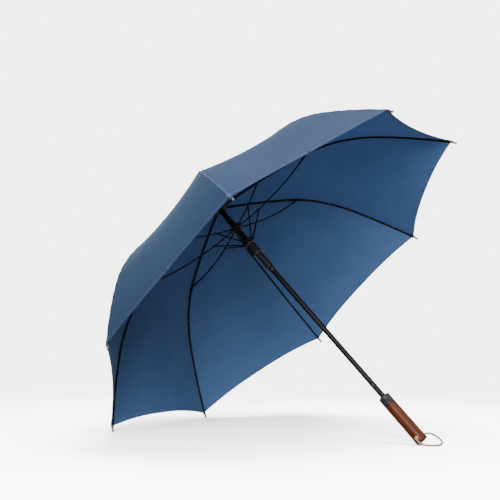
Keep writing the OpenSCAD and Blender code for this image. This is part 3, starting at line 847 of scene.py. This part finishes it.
# Tie strap and hook pad, inside the gore between ribs 7 and 0
n = 22
lo, hi = [], []
for i in range(n + 1):
    u = i / n
    t, x = 0.055 + 0.145 * u, 505 + 15 * u
    half = 9 * (1 if u < 0.86 else math.sqrt(max(0.02, 1 - ((u - 0.86) / 0.14) ** 2 * 0.75)))
    lift = -0.9 - 1.6 * math.sin(math.pi * u) ** 2
    lo.append([cloth(7, 1, x + q * half, t, lift - 0.9 + 0.15 * abs(q)) for q in (-1, -0.8, -0.3, 0.3, 0.8, 1)])
    hi.append([cloth(7, 1, x + q * half, t, lift) for q in (-1, -0.8, -0.3, 0.3, 0.8, 1)])
v, f = slab(lo, hi)
parts, mats = [(v, f)], [0] * len(f)
for sg in (-0.82, 0.82):
    for i in range(26):
        u0, u1 = (i + 0.1) / 28, (i + 0.75) / 28
        pp = []
        for u in (u0, u1):
            lift = -0.9 - 1.6 * math.sin(math.pi * u) ** 2 - 0.95
            pp.append(cloth(7, 1, 505 + 15 * u + sg * 9, 0.055 + 0.145 * u, lift + 0.1))
        v, f = stitch(pp[0], pp[1], -cloth_n(7, 1, 505 + 15 * u0, 0.055 + 0.145 * u0), 0.00025, 0.00025)
        parts.append((v, f))
        mats += [1] * len(f)
v, f = join(parts)
strap = make("strap_band", v, f, [M_STRAP, M_THREAD], mats)
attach(strap, "outer_7")
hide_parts("tie_strap")
crumple(strap, 7, 1, "outer")
lo, hi = [], []
for i in range(7):
    u = i / 6
    t, x = 0.160 + 0.036 * u, 516.8 + 2.6 * u
    lift = -0.9 - 1.6 * math.sin(math.pi * (t - 0.055) / 0.145) ** 2 - 0.9
    lo.append([cloth(7, 1, x + q * 7, t, lift - 0.9) for q in (-1, -0.9, 0, 0.9, 1)])
    hi.append([cloth(7, 1, x + q * 7, t, lift + 0.1) for q in (-1, -0.9, 0, 0.9, 1)])
v, f = slab(lo, hi)
pad = make("hook_pad", v, f, [M_STRAP])
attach(pad, "outer_7")
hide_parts("strap_pad")
crumple(pad, 7, 1, "outer")

# ------------------------------------------------------------------ runner spring
pts = []
z0, z1, turns = 128.4, 213.9, 9
for i in range(0, turns * 28 + 1):
    a = 2 * math.pi * i / 28
    u = i / (turns * 28)
    # closed end turns, open turns between
    s = u + 0.055 * math.sin(2 * math.pi * u) * -1
    pts.append(row((9.6 * math.cos(a), 9.6 * math.sin(a), z0 + (z1 - z0) * s)))
v, f = tube_mesh(pts, 0.0008, 10)
spring = make("coil_spring", v, f, [M_SPRING])
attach(spring, "hub")
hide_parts("runner_spring")
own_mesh(spring)

# ------------------------------------------------------------------ finishes of the CAD nodes
PAINT = {
    "rib_": M_RIB, "stretcher_": M_RIB, "link_": M_RIB, "shaft": M_SHAFT, "ferrule": M_SHAFT, "crown_cap": M_PLASTIC, "crown_notch": M_PLASTIC,
    "stretcher_hub": M_PLASTIC, "runner": M_PLASTIC, "runner_rings": M_RING, "crown_wire": M_STEEL, "hub_wire": M_STEEL, "top_catch": M_CATCH,
    "top_catch_spring": M_STEEL, "lower_catch": M_COLLAR, "button_spring": M_STEEL, "collar": M_COLLAR, "push_button": M_BUTTON, "grip": M_WOOD,
    "runner_spring": M_SPRING, "canopy_panel_": M_INT, "tie_strap": M_STRAP, "strap_pad": M_STRAP, "wrist_cord": M_CORD, "cord_knot": M_KNOT,
}
for name, ob in NODES.items():
    mt = PAINT.get(name)
    if mt is None:
        mt = next(v for key, v in PAINT.items() if key.endswith("_") and name.startswith(key))
    if not ob.data.materials:
        ob.data.materials.append(mt)
    for i in range(len(ob.data.materials)):
        ob.data.materials[i] = mt

# ------------------------------------------------------------------ floor and light
WORLD, WHITE, FLOOR_GAIN, BOUNCE = 0.22, 5.0, 2.7, 0.24
me = bpy.data.meshes.new("floor")
R = 12.0
me.from_pydata([(-R, -R, 0), (R, -R, 0), (R, R, 0), (-R, R, 0)], [], [(0, 1, 2, 3)])
floor = bpy.data.objects.new("floor", me)
scene.collection.objects.link(floor)
mt, nt, b, out = new_mat("studio floor")
nt.nodes.remove(b)
df = node(nt, "ShaderNodeBsdfDiffuse")
pale = ramp(nt, noise(nt, coords(nt), 3, 2), [(0.3, (0.985, 0.985, 0.985)), (0.7, (1.0, 1.0, 1.0))])
lp = node(nt, "ShaderNodeLightPath")
gain = math_node(nt, "ADD", math_node(nt, "MULTIPLY", lp.outputs["Is Camera Ray"], FLOOR_GAIN - BOUNCE), BOUNCE)
vm = node(nt, "ShaderNodeVectorMath", operation="SCALE")
nt.links.new(pale, vm.inputs[0])
nt.links.new(gain, vm.inputs["Scale"])
nt.links.new(vm.outputs[0], df.inputs["Color"])
# away from the object the floor runs into the white of the studio
far = node(nt, "ShaderNodeVectorMath", operation="LENGTH")
nt.links.new(coords(nt), far.inputs[0])
edge = node(nt, "ShaderNodeMapRange", interpolation_type="SMOOTHSTEP")
edge.inputs["From Min"].default_value = 0.75
edge.inputs["From Max"].default_value = 1.9
nt.links.new(far.outputs["Value"], edge.inputs["Value"])
fac = math_node(nt, "MULTIPLY", edge.outputs[0], lp.outputs["Is Camera Ray"])
em = node(nt, "ShaderNodeEmission")
em.inputs["Strength"].default_value = WHITE
mix = node(nt, "ShaderNodeMixShader")
nt.links.new(fac, mix.inputs[0])
nt.links.new(df.outputs[0], mix.inputs[1])
nt.links.new(em.outputs[0], mix.inputs[2])
nt.links.new(mix.outputs[0], out.inputs[0])
me.materials.append(mt)

world = bpy.data.worlds.new("studio")
scene.world = world
world.use_nodes = True
wt = world.node_tree
bg = wt.nodes["Background"]
lp = wt.nodes.new("ShaderNodeLightPath")
wm = wt.nodes.new("ShaderNodeMath")
wm.operation = "MULTIPLY_ADD"
wm.inputs[1].default_value = WHITE - WORLD
wm.inputs[2].default_value = WORLD
wt.links.new(lp.outputs["Is Camera Ray"], wm.inputs[0])
bg.inputs["Color"].default_value = (1, 1, 1, 1)
wt.links.new(wm.outputs[0], bg.inputs["Strength"])


def area(name, loc, target, size, power, size_y=None, color=(1, 1, 1)):
    d = bpy.data.lights.new(name, "AREA")
    d.shape = "RECTANGLE"
    d.size = size
    d.size_y = size_y or size
    d.energy = power
    d.color = color
    o = bpy.data.objects.new(name, d)
    o.location = loc
    o.rotation_euler = (Vector(target) - Vector(loc)).to_track_quat("-Z", "Y").to_euler()
    scene.collection.objects.link(o)
    return o


area("top", (0.4, 0.35, 3.2), (0.0, 0.0, 0.4), 2.2, 275)
area("fill", (1.3, -2.85, 1.45), (0.1, 0, 0.4), 1.6, 315)

# ------------------------------------------------------------------ end
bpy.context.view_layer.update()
